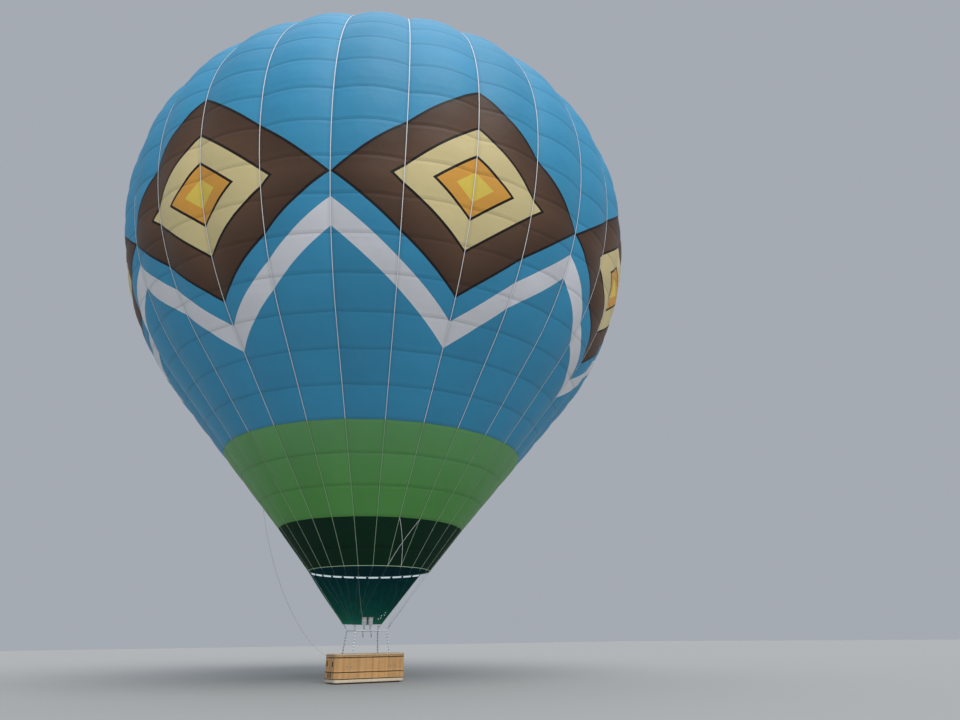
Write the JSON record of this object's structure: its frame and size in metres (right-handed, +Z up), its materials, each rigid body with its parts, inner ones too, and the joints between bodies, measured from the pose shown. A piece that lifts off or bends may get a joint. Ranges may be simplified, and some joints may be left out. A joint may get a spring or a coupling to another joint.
{
  "type": "hot air balloon",
  "caption": "Hot air balloon with a gored envelope, parachute valve, scoop, flying wires, gimballed burners and a partitioned wicker basket.",
  "frame": {"origin": "on the vertical axis at the envelope's widest level, 20.608 m above the basket's foot, where the hot air lifts", "axes": "+Z up, +X along the basket's long side, the scoop on the +Y side"},
  "size_m": [24.6384, 24.6384, 30.4758],
  "materials": {
    "sky_blue_fabric": "coated ripstop cloth, faintly shiny",
    "green_fabric": "coated ripstop cloth, faintly shiny",
    "dark_green_fabric": "heat resistant cloth, matt",
    "webbing": "woven load tape",
    "scoop_fabric": "heat resistant cloth, matt",
    "steel": "brushed stainless",
    "cast_alloy": "satin cast metal",
    "grip": "matt grip",
    "cover_fabric": "padded cover",
    "plywood": "varnished plywood",
    "wicker": "varnished woven cane",
    "suede": "suede over foam",
    "rawhide": "dried rawhide"
  },
  "bodies": {
    "root": {"envelope_crown_1": "sky_blue_fabric", "envelope_crown_2": "sky_blue_fabric", "envelope_crown_3": "sky_blue_fabric", "envelope_crown_4": "sky_blue_fabric", "envelope_shoulder_1": "sky_blue_fabric", "envelope_shoulder_2": "sky_blue_fabric", "envelope_shoulder_3": "sky_blue_fabric", "envelope_shoulder_4": "sky_blue_fabric", "envelope_lower_1": "sky_blue_fabric", "envelope_lower_2": "sky_blue_fabric", "envelope_lower_3": "sky_blue_fabric", "envelope_lower_4": "sky_blue_fabric", "envelope_green_band": "green_fabric", "envelope_dark_band": "dark_green_fabric", "crown_ring_and_tapes": "webbing", "mouth_roll": "webbing", "scoop": "scoop_fabric", "flying_wires_front_left": "steel", "flying_wires_front_right": "steel", "flying_wires_back_left": "steel", "flying_wires_back_right": "steel", "burner_frame": "steel", "upright_front_left": "cover_fabric", "upright_front_right": "cover_fabric", "upright_back_left": "cover_fabric", "upright_back_right": "cover_fabric", "basket_floor": "plywood", "basket_skid_1": "plywood", "basket_skid_2": "plywood", "basket_skid_3": "plywood", "basket_wall_front": "wicker", "basket_wall_back": "wicker", "basket_end_left": "wicker", "basket_end_right": "wicker", "partition_across_left": "wicker", "partition_across_right": "wicker", "partition_along_left": "wicker", "partition_along_right": "wicker", "basket_rim": "suede", "basket_belt": "wicker", "rawhide_band": "rawhide", "fuel_cylinder_1": "cast_alloy", "fuel_cylinder_2": "cast_alloy", "fuel_cylinder_3": "cast_alloy", "fuel_cylinder_4": "cast_alloy"},
    "valve": {"parachute_valve": "sky_blue_fabric"},
    "gimbal": {"gimbal_ring": "steel"},
    "burners": {"burner_block": "cast_alloy", "burner_can_1": "steel", "burner_can_2": "steel", "burner_coil_1": "steel", "burner_coil_2": "steel", "blast_handle_1": "grip", "blast_handle_2": "grip"}
  },
  "joints": [
    {"name": "valve_slide", "type": "slide", "parent": "root", "child": "valve", "axis": [0, 0, -1], "range_m": [0, 1.2], "stiffness_N_per_m": 600, "springref_m": -0.8},
    {"name": "gimbal_tilt", "type": "hinge", "parent": "root", "child": "gimbal", "pos_m": [0, 0, -18.608], "axis": [1, 0, 0], "range_deg": [-15, 15]},
    {"name": "burner_tilt", "type": "hinge", "parent": "gimbal", "child": "burners", "pos_m": [0, 0, -18.608], "axis": [0, 1, 0], "range_deg": [-15, 15]}
  ]
}
